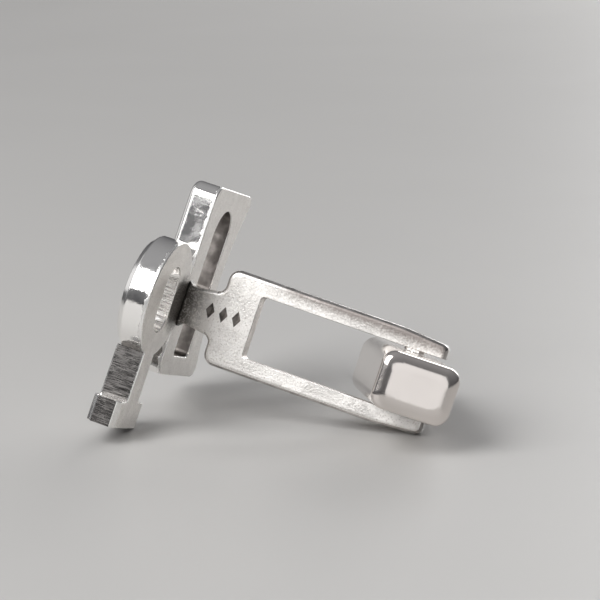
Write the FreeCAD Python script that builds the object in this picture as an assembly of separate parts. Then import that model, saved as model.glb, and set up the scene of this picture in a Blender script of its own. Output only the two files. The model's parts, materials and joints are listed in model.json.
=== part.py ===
import FreeCAD, Part
import math
import os

# A silver swivel-bar cufflink, lying on a table the way it comes to rest by itself.
# Millimetres. Each piece is drawn in the post's own frame and laid on the table at the end:
# x runs along the post from the back of the face to the toggle, z runs along the pivot pin,
# and y runs across the thin post plate, with its near side at negative y.

V = FreeCAD.Vector
POST_AXIS = V(1, 0, 0)
PLATE_AXIS = V(0, 1, 0)
PIN_AXIS = V(0, 0, 1)

# Face: three flat pieces of one thickness, soldered edge to edge
face_thickness = 2.3
edge_break = 0.1
front_round = 0.5
solder_margin = 0.15

# Buckle frame, the tall piece of the face that carries the post
buckle_top = 9.5
buckle_height = 15.4
near_stem = 2.6
slot_width = 4.1
far_stem = 2.0
waist_depth = 2.2
top_bar = 1.7
crossbar = 2.2
bottom_bar = 1.6
buckle_corner = 0.9
buckle_near_corner = 1.2
slot_corner = 0.5

# Ring with an oblong eye, soldered to the buckle's near stem
ring_radius = 4.6
ring_flat = 0.6
eye_width = 3.0
eye_height = 5.2

# T-bar that hangs under the ring
bar_flat = 0.3
bar_width = 2.65
bar_length = 4.0
foot_width = 6.0
foot_height = 2.1
foot_bevel = 0.35

# Post: a forked plate with a narrow neck
plate_thickness = 1.45
post_width = 7.75
arm_gap = 5.0
neck_root = 2.8
neck_end = 3.7
neck_length = 2.9
root_flare = 0.45
root_radius = 0.5
bridge_length = 3.0
pivot_reach = 18.5
tip_reach = 2.6
tip_width = 1.05
taper_length = 3.9
shoulder_radius = 0.9
neck_radius = 0.5
window_radius = 0.3
tip_radius = 0.45
taper_radius = 5.0
outer_round = 0.38
inner_round = 0.1

# Pivot
pin_diameter = 0.8
pin_seat_clearance = 0.01
pin_running_clearance = 0.03
pin_recess = 0.06
pin_chamfer = 0.08
boss_diameter = 1.6
boss_inset = 0.1
side_gap = 0.25
boss_clearance = 0.05

# Toggle: a hollow bar closed by two caps, with a leaf spring that rubs on the pin
toggle_length = 16.4
toggle_width = 6.1
toggle_corner = 1.1
toggle_swing = 18.5
cap_length = 1.6
cap_round = 0.85
shell_wall = 0.8
spigot_length = 0.9
spigot_clearance = 0.03
leaf_thickness = 0.2
leaf_pad = 0.9
leaf_end_gap = 0.3
leaf_side_gap = 0.2
leaf_clearance = 0.05

# Rest on the table: first guess of the upward direction, and how it is refined
up_guess = V(-0.28, -0.23, 0.93)
settle_rounds = 8
touch_mesh = 0.01

# Sizes that follow from those above
near_reach = plate_thickness / 2 + solder_margin
ring_centre_y = -(near_reach + ring_radius - ring_flat)
bar_top = -(ring_radius - bar_flat)
front_reach = min(front_round, face_thickness / 3, buckle_corner - edge_break)
foot_top = bar_top - bar_length
window_x = neck_length + bridge_length
tip_x = pivot_reach + tip_reach
pivot = V(pivot_reach, 0, 0)
toggle_height = arm_gap - 2 * side_gap
shell_length = toggle_length - 2 * cap_length
hollow_width = toggle_width - 2 * shell_wall
hollow_height = toggle_height - 2 * shell_wall
hollow_corner = max(toggle_corner - shell_wall, edge_break)


def rounded_outline(corners, radii):
    """Closed wire through the corners, each rounded by its own radius, 0 for a sharp one."""
    count = len(corners)
    starts = []
    ends = []
    arcs = []
    for index, corner in enumerate(corners):
        back = (corners[index - 1] - corner).normalize()
        ahead = (corners[(index + 1) % count] - corner).normalize()
        half_angle = back.getAngle(ahead) / 2
        reach = radii[index] / math.tan(half_angle)
        start = corner + back * reach
        end = corner + ahead * reach
        starts.append(start)
        ends.append(end)
        arc = None
        if radii[index] > 0:
            inset = radii[index] / math.sin(half_angle) - radii[index]
            middle = corner + (back + ahead).normalize() * inset
            arc = Part.Arc(start, middle, end).toShape()
        arcs.append(arc)
    edges = []
    for index in range(count):
        if arcs[index]:
            edges.append(arcs[index])
        following = starts[(index + 1) % count]
        if ends[index].distanceToPoint(following) > 1e-6:
            edges.append(Part.LineSegment(ends[index], following).toShape())
    return Part.Wire(edges)


def prism(wire, travel):
    """Solid swept by a flat closed outline along a straight travel."""
    return Part.Face(wire).extrude(travel)


def face_prism(wire):
    """Solid of the face's thickness from an outline drawn on its front plane."""
    return prism(wire, POST_AXIS * face_thickness)


def face_point(y, z):
    """Point on the front plane of the face."""
    return V(-face_thickness, y, z)


def lies_in(shape, plane):
    """Whether a shape lies in an x plane."""
    box = shape.BoundBox
    return abs(box.XMin - plane) < 1e-6 and abs(box.XMax - plane) < 1e-6


def front_edges(solid):
    """Edges of a face piece that lie in its front plane."""
    return [edge for edge in solid.Edges if lies_in(edge, -face_thickness)]


def broken_edges(solid):
    """Face piece with the edges of its openings and of its back taken off by a small chamfer."""
    front = [face for face in solid.Faces if lies_in(face, -face_thickness)][0]
    outline = front.OuterWire.Edges
    edges = [edge for edge in solid.Edges if lies_in(edge, 0)]
    for edge in front.Edges:
        if not any(edge.isSame(other) for other in outline):
            edges.append(edge)
    return solid.makeChamfer(edge_break, edges)


def edges_along(solid, axis):
    """Straight edges of a solid that run parallel to an axis."""
    found = []
    for edge in solid.Edges:
        straight = edge.Curve.TypeId == "Part::GeomLine"
        if straight and abs(abs(edge.tangentAt(edge.FirstParameter).dot(axis)) - 1) < 1e-6:
            found.append(edge)
    return found


def window(y_near, y_far, z_low, z_high, low_radius, high_radius):
    """Rectangular opening through the face with its own radius at each end, at most its half width."""
    limit = min(y_far - y_near, z_high - z_low) / 2
    low = min(low_radius, limit)
    high = min(high_radius, limit)
    corners = [
        face_point(y_near, z_low),
        face_point(y_far, z_low),
        face_point(y_far, z_high),
        face_point(y_near, z_high),
    ]
    return face_prism(rounded_outline(corners, [low, low, high, high]))


def face_buckle():
    """Tall buckle frame with two windows and a hollowed far side."""
    near = -near_reach
    slot_near = near + near_stem
    slot_far = slot_near + slot_width
    waist = slot_far + far_stem
    far = waist + waist_depth
    bottom = buckle_top - buckle_height
    middle = buckle_top - buckle_height / 2
    outline = Part.Wire([
        Part.LineSegment(face_point(near, bottom), face_point(near, buckle_top)).toShape(),
        Part.LineSegment(face_point(near, buckle_top), face_point(far, buckle_top)).toShape(),
        Part.Arc(face_point(far, buckle_top), face_point(waist, middle), face_point(far, bottom)).toShape(),
        Part.LineSegment(face_point(far, bottom), face_point(near, bottom)).toShape(),
    ])
    solid = face_prism(outline)
    for y, radius in ((near, buckle_near_corner), (far, buckle_corner)):
        corners = [edge for edge in edges_along(solid, POST_AXIS) if abs(edge.CenterOfMass.y - y) < 1e-6]
        solid = solid.makeFillet(radius, corners)
    slot = window(slot_near, slot_far, crossbar / 2, buckle_top - top_bar, slot_corner, slot_width / 2)
    lower = window(slot_near, slot_far, bottom + bottom_bar, -crossbar / 2, slot_corner, slot_corner)
    rounded = solid.makeFillet(front_reach, front_edges(solid))
    return broken_edges(rounded.cut(slot).cut(lower))


def face_ring():
    """Ring with an oblong eye and two filed flats, one for the buckle and one for the T-bar."""
    centre = face_point(ring_centre_y, 0)
    solid = Part.makeCylinder(ring_radius, face_thickness, centre, POST_AXIS)
    half_eye = eye_width / 2
    eye = window(
        ring_centre_y - half_eye,
        ring_centre_y + half_eye,
        -eye_height / 2,
        eye_height / 2,
        half_eye,
        half_eye,
    )
    span = 2 * ring_radius
    kept = Part.makeBox(
        face_thickness,
        span,
        span,
        face_point(-near_reach - span, bar_top),
    )
    turned = solid.makeChamfer(front_reach, front_edges(solid))
    return broken_edges(turned.cut(eye).common(kept))


def face_tbar():
    """Bar under the ring with a bevelled crosswise foot."""
    bar = Part.makeBox(
        face_thickness,
        bar_width,
        bar_length,
        face_point(ring_centre_y - bar_width / 2, foot_top),
    )
    bar = bar.makeChamfer(edge_break, edges_along(bar, PIN_AXIS))
    foot = Part.makeBox(
        face_thickness,
        foot_width,
        foot_height,
        face_point(ring_centre_y - foot_width / 2, foot_top - foot_height),
    )
    foot = foot.makeChamfer(foot_bevel, edges_along(foot, PIN_AXIS))
    return bar.fuse(foot).removeSplitter()


def post_outline():
    """Outline of the forked plate, drawn on its near side from the neck's root round both arms."""
    side = -plate_thickness / 2
    outer = post_width / 2
    inner = arm_gap / 2
    neck_slope = (neck_end - neck_root) / 2 / neck_length
    upper = [
        (0, neck_root / 2 + root_flare, 0),
        (root_flare, neck_root / 2 + neck_slope * root_flare, root_radius),
        (neck_length, neck_end / 2, neck_radius),
        (neck_length, outer, shoulder_radius),
        (tip_x - taper_length, outer, taper_radius),
        (tip_x, inner + tip_width, tip_radius),
        (tip_x, inner, inner_round),
        (window_x, inner, window_radius),
    ]
    lower = [(x, -z, radius) for x, z, radius in reversed(upper)]
    corners = [V(x, side, z) for x, z, radius in upper + lower]
    radii = [radius for x, z, radius in upper + lower]
    return rounded_outline(corners, radii)


def on_plate_side(edge):
    """Whether an edge lies in one of the plate's two broad sides."""
    box = edge.BoundBox
    flat = box.YLength < 1e-6
    return flat and abs(abs(box.YMin) - plate_thickness / 2) < 1e-6


def round_post(solid):
    """Post with its outer edges rounded over; the edges of its window stay crisp."""
    edges = []
    for edge in solid.Edges:
        point = edge.CenterOfMass
        at_root = point.x < edge_break
        in_fork = point.x > neck_length + shoulder_radius and abs(point.z) < arm_gap / 2 + inner_round
        if on_plate_side(edge) and not at_root and not in_fork:
            edges.append(edge)
    return solid.makeFillet(outer_round, edges)


def pivot_boss(side):
    """Low round boss on the inner side of one arm, kept within the plate's thickness."""
    height = side_gap - boss_clearance
    sunk = inner_round
    base = pivot + PIN_AXIS * side * (arm_gap / 2 + sunk)
    boss = Part.makeCylinder(boss_diameter / 2, height + sunk, base, PIN_AXIS * -side)
    slab_thickness = plate_thickness - 2 * boss_inset
    slab = Part.makeBox(
        2 * boss_diameter,
        slab_thickness,
        post_width,
        pivot - V(boss_diameter, slab_thickness / 2, post_width / 2),
    )
    return boss.common(slab)


def post_frame():
    """Forked post plate with its neck, arms, pivot bosses and pin holes."""
    solid = prism(post_outline(), PLATE_AXIS * plate_thickness)
    solid = round_post(solid)
    for side in (1, -1):
        solid = solid.fuse(pivot_boss(side))
    radius = pin_diameter / 2 + pin_seat_clearance
    hole = Part.makeCylinder(radius, 2 * post_width, pivot - PIN_AXIS * post_width, PIN_AXIS)
    return solid.cut(hole).removeSplitter()


def arm_outer_at_pivot():
    """Half width of the post over its arms at the pivot, where the taper has begun."""
    run = max(pivot_reach - (tip_x - taper_length), 0)
    drop = (post_width - arm_gap) / 2 - tip_width
    return post_width / 2 - drop * run / taper_length


def pivot_pin():
    """Rivet pin through both arms, finished just under their outer sides."""
    half = arm_outer_at_pivot() - pin_recess
    pin = Part.makeCylinder(pin_diameter / 2, 2 * half, pivot - PIN_AXIS * half, PIN_AXIS)
    rims = [edge for edge in pin.Edges if edge.Curve.TypeId == "Part::GeomCircle"]
    return pin.makeChamfer(pin_chamfer, rims)


def bar_section(width, height, corner, y):
    """Rounded rectangle across the toggle at a place along its length."""
    corners = []
    for across, up in ((-1, -1), (1, -1), (1, 1), (-1, 1)):
        corners.append(pivot + V(across * width / 2, y, up * height / 2))
    return rounded_outline(corners, [corner] * 4)


def toggle_shell():
    """Middle of the toggle: an open tube of rounded section with the pin's holes."""
    start = -shell_length / 2
    travel = PLATE_AXIS * shell_length
    outer = prism(bar_section(toggle_width, toggle_height, toggle_corner, start), travel)
    hollow = prism(bar_section(hollow_width, hollow_height, hollow_corner, start), travel)
    radius = pin_diameter / 2 + pin_running_clearance
    hole = Part.makeCylinder(radius, 2 * toggle_height, pivot - PIN_AXIS * toggle_height, PIN_AXIS)
    return outer.cut(hollow).cut(hole)


def toggle_cap(side):
    """End cap with a rounded rim and a spigot that fits in the tube."""
    start = side * shell_length / 2
    body = prism(bar_section(toggle_width, toggle_height, toggle_corner, start), PLATE_AXIS * side * cap_length)
    end = start + side * cap_length + pivot.y
    rim = []
    for edge in body.Edges:
        box = edge.BoundBox
        if abs(box.YMin - end) < 1e-6 and abs(box.YMax - end) < 1e-6:
            rim.append(edge)
    body = body.makeFillet(min(cap_round, cap_length - edge_break), rim)
    spigot = prism(
        bar_section(
            hollow_width - 2 * spigot_clearance,
            hollow_height - 2 * spigot_clearance,
            hollow_corner - spigot_clearance,
            start,
        ),
        PLATE_AXIS * -side * spigot_length,
    )
    return body.fuse(spigot).removeSplitter()


def leaf_spring():
    """Arched leaf whose pads lie on the tube's wall and whose crest rubs on the pin."""
    wall = hollow_width / 2
    reach = shell_length / 2 - spigot_length - leaf_end_gap
    bend = reach - leaf_pad
    crest = pin_diameter / 2 + leaf_clearance
    width = hollow_height - 2 * hollow_corner - 2 * leaf_side_gap

    def at(x, y):
        return pivot + V(x, y, -width / 2)

    foot = wall - leaf_thickness
    edges = [
        Part.LineSegment(at(foot, -reach), at(foot, -bend)),
        Part.Arc(at(foot, -bend), at(crest, 0), at(foot, bend)),
        Part.LineSegment(at(foot, bend), at(foot, reach)),
        Part.LineSegment(at(foot, reach), at(wall, reach)),
        Part.LineSegment(at(wall, reach), at(wall, bend)),
        Part.Arc(at(wall, bend), at(crest + leaf_thickness, 0), at(wall, -bend)),
        Part.LineSegment(at(wall, -bend), at(wall, -reach)),
        Part.LineSegment(at(wall, -reach), at(foot, -reach)),
    ]
    wire = Part.Wire([edge.toShape() for edge in edges])
    return prism(wire, PIN_AXIS * width)


def swung(solid):
    """Toggle piece turned about the pin from crosswise to the angle it is left at."""
    turned = solid.copy()
    turned.rotate(pivot, PIN_AXIS, toggle_swing)
    return turned


def lowest_point(solid, up):
    """Point of a solid's surface that lies lowest along the upward direction."""
    points = solid.tessellate(touch_mesh)[0]
    return min(points, key=lambda point: point.dot(up))


def resting_up(feet):
    """Upward direction of the table plane that the three given solids touch."""
    up = V(up_guess).normalize()
    for _ in range(settle_rounds):
        first, second, third = [lowest_point(foot, up) for foot in feet]
        up = (second - first).cross(third - first).normalize()
        if up.z < 0:
            up = up * -1
    return up


def table_placement(pieces):
    """Placement that lays the cufflink on the table with the post's level direction along +X."""
    feet = [pieces["face_tbar"], pieces["post_frame"], pieces["toggle_cap_far"]]
    up = resting_up(feet)
    along = (POST_AXIS - up * POST_AXIS.dot(up)).normalize()
    turn = FreeCAD.Rotation(along, up.cross(along), up, "ZXY").inverted()
    placement = FreeCAD.Placement(V(), turn)
    laid = Part.Compound([moved(solid, placement) for solid in pieces.values()])
    box = laid.optimalBoundingBox()
    placement.Base = V(-box.Center.x, -box.Center.y, -box.ZMin)
    return placement


def moved(solid, placement):
    """Copy of a solid carried to a placement."""
    return solid.transformed(placement.toMatrix(), copy=True)


def only_solid(shape):
    """The one solid that a finished piece consists of."""
    (solid,) = shape.Solids
    return solid


def build():
    """All pieces by name, in the post's own frame."""
    shapes = {
        "face_buckle": face_buckle(),
        "face_ring": face_ring(),
        "face_tbar": face_tbar(),
        "post_frame": post_frame(),
        "pivot_pin": pivot_pin(),
        "toggle_shell": swung(toggle_shell()),
        "toggle_cap_near": swung(toggle_cap(-1)),
        "toggle_cap_far": swung(toggle_cap(1)),
        "leaf_spring": swung(leaf_spring()),
    }
    return {name: only_solid(shape) for name, shape in shapes.items()}


os.makedirs("parts", exist_ok=True)
pieces = build()
placement = table_placement(pieces)
for name, solid in pieces.items():
    laid = moved(solid, placement)
    laid.exportStep(f"parts/{name}.step")
    print(name, "valid" if laid.isValid() else "NOT VALID", f"{laid.Volume:.2f} mm3")
pin_place = placement.multVec(pivot)
pin_line = placement.Rotation.multVec(PIN_AXIS)
print("pin at", [round(value, 4) for value in pin_place], "along", [round(value, 5) for value in pin_line])
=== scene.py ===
"""Looks of a silver swivel-bar cufflink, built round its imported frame."""

import json
import logging
import math
from contextlib import contextmanager
from dataclasses import dataclass
from enum import Enum
from typing import Callable, Iterator, Self

import bmesh
import bpy
from mathutils import Matrix, Vector


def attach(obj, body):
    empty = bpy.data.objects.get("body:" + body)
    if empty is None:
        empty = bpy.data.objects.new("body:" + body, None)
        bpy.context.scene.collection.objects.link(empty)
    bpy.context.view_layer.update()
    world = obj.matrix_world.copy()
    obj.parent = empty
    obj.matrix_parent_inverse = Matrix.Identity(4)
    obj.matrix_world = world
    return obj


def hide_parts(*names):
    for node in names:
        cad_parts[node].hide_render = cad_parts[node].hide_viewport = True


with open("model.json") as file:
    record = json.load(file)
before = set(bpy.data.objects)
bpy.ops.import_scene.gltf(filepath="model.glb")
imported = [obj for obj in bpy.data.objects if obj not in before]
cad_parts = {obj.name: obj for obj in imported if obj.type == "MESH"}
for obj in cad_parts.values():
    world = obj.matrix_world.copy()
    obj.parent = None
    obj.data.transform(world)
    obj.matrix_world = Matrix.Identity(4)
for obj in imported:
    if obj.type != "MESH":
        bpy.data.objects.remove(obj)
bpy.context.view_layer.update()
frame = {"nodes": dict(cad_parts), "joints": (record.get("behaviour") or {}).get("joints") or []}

LOG = logging.getLogger("cufflink")

# A millimetre in metres
MM = 0.001
# Distances in millimetres within which two places, or two corners of an outline, count as one
TOUCH = 0.004
CORNER_TOUCH = 0.02
# Distances in millimetres within which a cut and a clean-up merge points
CUT_MERGE = 1e-5
CLEAN_MERGE = 1e-4
# Angles of a fold that shows as an edge, and of one that still counts as flat
FOLD = math.radians(30)
FLAT = math.radians(0.2)
# Share of a unit normal from which a face looks along a direction
SQUARE = 0.99
# Weight by which broad faces rule the shading of the roundings beside them
BROAD_WEIGHT = 100
# Middle part of a noise pattern's range
MIDDLE_BAND = (0.3, 0.7)
# Number of flats in a chamfer
CHAMFER = 1

X, Y, Z = (Vector(row) for row in Matrix.Identity(3))

Triple = tuple[float, float, float]
Colour = Triple
Span = tuple[float, float]
Edge = bmesh.types.BMEdge
EdgeTest = Callable[[Edge], bool]
Material = bpy.types.Material
Socket = bpy.types.NodeSocket
Feed = Socket | tuple[float, ...] | float


class Body(Enum):
    """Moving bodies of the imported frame."""

    SHANK = "shank"
    TOGGLE = "toggle"


class Slot(Enum):
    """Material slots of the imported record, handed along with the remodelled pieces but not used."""

    FACE = "face_silver"
    POST = "post_silver"
    TOGGLE = "toggle_silver"


class Surface(Enum):
    """Kinds of surface that take a finish of their own."""

    SATIN = "satin"
    POLISHED = "polished"
    WALL = "wall"
    FILED = "filed"
    TARNISHED = "tarnished"
    RECESS = "recess"
    WORN_OR_PAINTED_REFLECTION = "worn_or_painted_reflection"
    SAWN = "sawn"
    PUNCHED = "punched"


class Darkening(Enum):
    """Where a satin surface is darkened round the joint of the post's neck and the face."""

    NECK = "neck"
    SEAM = "seam"


class ToggleEnd(Enum):
    """The two ends of the toggle, by their side along its length."""

    NEAR = -1
    FAR = 1


def deselect() -> None:
    """Clears the selection, so that an operator touches only what comes next."""
    bpy.ops.object.select_all(action="DESELECT")


def steep(edge: Edge) -> bool:
    """Whether two faces meet at an edge with a clear fold."""
    return len(edge.link_faces) == 2 and edge.calc_face_angle(0.0) > FOLD


def middle(edge: Edge) -> Vector:
    """Middle of an edge."""
    return (edge.verts[0].co + edge.verts[1].co) / 2


def runs_along(edge: Edge, axis: Vector) -> bool:
    """Whether an edge runs parallel to an axis."""
    run = edge.verts[1].co - edge.verts[0].co
    return abs(run.dot(axis)) > TOUCH > run.cross(axis).length


def centred_at(edge: Edge, axis: Vector, place: float) -> bool:
    """Whether the middle of an edge lies at a place along an axis."""
    return abs(middle(edge).dot(axis) - place) < TOUCH


def lies_at(edge: Edge, axis: Vector, *places: float) -> bool:
    """Whether both ends of an edge lie in one of the planes across an axis."""
    return any(all(abs(vertex.co.dot(axis) - place) < TOUCH for vertex in edge.verts) for place in places)


@dataclass
class Workpiece:
    """One mesh on the bench, in millimetres, shaped by the operators that a hand modeller uses."""

    item: bpy.types.Object

    @classmethod
    def added(cls, name: str, scale: Vector = Vector((1, 1, 1))) -> Self:
        """Names, sizes and takes up the primitive that was just added.

        Args:
            name: Name of the piece.
            scale: Factors that bring it to its size.

        Returns:
            The new piece.
        """
        item = bpy.context.object
        item.name = name
        item.scale = scale
        bpy.ops.object.transform_apply(location=True, rotation=True, scale=True)
        return cls(item)

    @classmethod
    def block(cls, name: str, *spans: Span) -> Self:
        """Adds a block.

        Args:
            name: Name of the piece.
            *spans: Where it starts and ends along X, Y and Z.

        Returns:
            The new piece.
        """
        deselect()
        low, high = (Vector(corner) for corner in zip(*spans))
        bpy.ops.mesh.primitive_cube_add(size=1.0, location=(low + high) / 2)
        return cls.added(name, high - low)

    @classmethod
    def rod(cls, name: str, radius: float, start: Vector, end: Vector, sides: int) -> Self:
        """Adds a round rod between two points.

        Args:
            name: Name of the piece.
            radius: Radius of the rod.
            start: Middle of its first end.
            end: Middle of its other end.
            sides: Number of flats round it.

        Returns:
            The new piece.
        """
        deselect()
        run = end - start
        bpy.ops.mesh.primitive_cylinder_add(
            vertices=sides,
            radius=radius,
            depth=run.length,
            location=(start + end) / 2,
            rotation=run.to_track_quat("Z", "Y").to_euler(),
        )
        return cls.added(name)

    @classmethod
    def lozenge(cls, width: float, height: float, tip: Vector, mouth: Vector) -> Self:
        """Adds a four-sided punch that points along +Y.

        Args:
            width: Width along X at its mouth.
            height: Height along Z at its mouth.
            tip: The punch's point.
            mouth: Middle of its base.

        Returns:
            The new piece.
        """
        deselect()
        bpy.ops.mesh.primitive_cone_add(
            vertices=4,
            radius1=0.5,
            radius2=0.0,
            depth=(tip - mouth).length,
            location=(tip + mouth) / 2,
            rotation=(-math.pi / 2, 0, 0),
        )
        return cls.added("cutter", Vector((width, height, 1)))

    def activate(self) -> None:
        """Makes this the only selected object, and the active one."""
        deselect()
        self.item.select_set(True)
        bpy.context.view_layer.objects.active = self.item

    @contextmanager
    def editing(self, mode: str) -> Iterator[bmesh.types.BMesh]:
        """Opens edit mode with nothing selected.

        Args:
            mode: What is picked: EDGE or FACE.

        Yields:
            The mesh in edit mode.
        """
        self.activate()
        bpy.ops.object.mode_set(mode="EDIT")
        bpy.ops.mesh.select_mode(type=mode)
        bpy.ops.mesh.select_all(action="DESELECT")
        yield bmesh.from_edit_mesh(self.item.data)
        bpy.ops.object.mode_set(mode="OBJECT")

    @contextmanager
    def all_selected(self) -> Iterator[None]:
        """Opens edit mode with the whole mesh selected."""
        with self.editing("FACE"):
            bpy.ops.mesh.select_all(action="SELECT")
            yield

    @contextmanager
    def edges_selected(self, picked: EdgeTest) -> Iterator[None]:
        """Opens edit mode with some edges selected.

        Args:
            picked: Says which ones.
        """
        with self.editing("EDGE") as mesh:
            for edge in mesh.edges:
                if picked(edge):
                    edge.select_set(True)
            bmesh.update_edit_mesh(self.item.data)
            yield

    def bevel(self, picked: EdgeTest, reach: float, segments: int) -> None:
        """Rounds or chamfers the edges that a test picks, from a reach to either side of them."""
        with self.edges_selected(picked):
            bpy.ops.mesh.bevel(offset=reach, segments=segments, affect="EDGES", clamp_overlap=False)

    def dissolve(self, picked: EdgeTest) -> None:
        """Takes out the edges that a test picks and joins their faces."""
        with self.edges_selected(picked):
            bpy.ops.mesh.dissolve_edges(use_verts=True)

    def draw_out(
        self,
        normal: Vector,
        travel: Vector,
        spread: Vector = Vector((1, 1, 1)),
        within: Callable[[Vector], bool] = lambda centre: True,
    ) -> None:
        """Extrudes the outermost faces that look along a direction.

        Args:
            normal: Direction that the faces look in.
            travel: How far they are drawn out.
            spread: Factors by which the new end is resized about its middle.
            within: Says by its middle whether such a face is drawn out.
        """
        with self.editing("FACE") as mesh:
            reach = max(vertex.co.dot(normal) for vertex in mesh.verts)
            middles = []
            for face in mesh.faces:
                centre = face.calc_center_median()
                outermost = face.normal.dot(normal) > SQUARE and reach - centre.dot(normal) < TOUCH
                if outermost and within(centre):
                    face.select_set(True)
                    middles.append(centre)
            bmesh.update_edit_mesh(self.item.data)
            bpy.ops.mesh.extrude_region_move(TRANSFORM_OT_translate={"value": travel})
            new_middle = sum(middles, Vector()) / len(middles) + travel
            bpy.ops.transform.resize(value=spread, center_override=new_middle)

    def score(self, spot: Vector, normal: Vector) -> None:
        """Draws an edge all round the piece where a plane crosses it."""
        with self.all_selected():
            bpy.ops.mesh.bisect(plane_co=spot, plane_no=normal, threshold=CUT_MERGE)

    def trim(self, spot: Vector, outward: Vector) -> None:
        """Cuts off what lies beyond a plane, on the side that a vector points to, and closes the cut."""
        plane = {"plane_co": spot, "plane_no": outward, "threshold": CUT_MERGE}
        with self.all_selected():
            bpy.ops.mesh.bisect(**plane, use_fill=True, clear_outer=True)

    def flatten(self) -> None:
        """Merges doubled points and removes edges inside flat faces."""
        with self.all_selected():
            bpy.ops.mesh.remove_doubles(threshold=CLEAN_MERGE)
            bpy.ops.mesh.dissolve_limited(angle_limit=FLAT)

    def apply(self, modifier: bpy.types.Modifier) -> None:
        """Applies a modifier of this piece."""
        self.activate()
        bpy.ops.object.modifier_apply(modifier=modifier.name)

    def combine(self, tool: Self, operation: str) -> None:
        """Joins another piece on, or cuts it out, and takes it off the bench.

        Args:
            tool: The other piece.
            operation: UNION or DIFFERENCE.
        """
        change = self.item.modifiers.new("combine", "BOOLEAN")
        change.operation = operation
        change.object = tool.item
        change.solver = "EXACT"
        self.apply(change)
        bpy.data.objects.remove(tool.item)

    def cut(self, tool: Self) -> None:
        """Cuts another piece out of this one."""
        self.combine(tool, "DIFFERENCE")

    def dress(
        self,
        finishes: dict[Surface, Material],
        choose: Callable[[Vector, Vector], Surface],
        fold: float,
    ) -> None:
        """Gives each face its finish, and shades roundings smooth while broad faces stay flat.

        Args:
            finishes: Material of each kind of surface.
            choose: Says what kind a face is from its middle and normal.
            fold: Angle in degrees from which an edge stays sharp.
        """
        mesh = self.item.data
        mesh.materials.clear()
        order: dict[Surface, int] = {}
        for face in mesh.polygons:
            kind = choose(face.center, face.normal)
            if kind not in order:
                order[kind] = len(order)
                mesh.materials.append(finishes[kind])
            face.material_index = order[kind]
        self.activate()
        bpy.ops.object.shade_smooth_by_angle(angle=math.radians(fold))
        weights = self.item.modifiers.new("weights", "WEIGHTED_NORMAL")
        weights.keep_sharp = True
        weights.weight = BROAD_WEIGHT
        self.apply(weights)

    def hand_over(self, place: Matrix, body: Body, slot: Slot, node: str) -> None:
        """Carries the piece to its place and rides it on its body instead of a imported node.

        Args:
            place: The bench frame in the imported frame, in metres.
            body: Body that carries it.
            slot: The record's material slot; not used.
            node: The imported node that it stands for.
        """
        self.activate()
        self.item.matrix_world = place @ Matrix.Scale(MM, 4)
        bpy.ops.object.transform_apply(location=True, rotation=True, scale=True)
        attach(self.item, body.value)
        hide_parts(node)
        LOG.info("%s stands for %s, %d faces", self.item.name, node, len(self.item.data.polygons))


def dress_node(node: str, material: Material) -> None:
    """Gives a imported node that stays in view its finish.

    Args:
        node: Name of the node.
        material: Its finish.
    """
    item = frame["nodes"][node]
    item.data.materials.clear()
    item.data.materials.append(material)
    LOG.info("%s keeps its packed shape", node)


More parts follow.
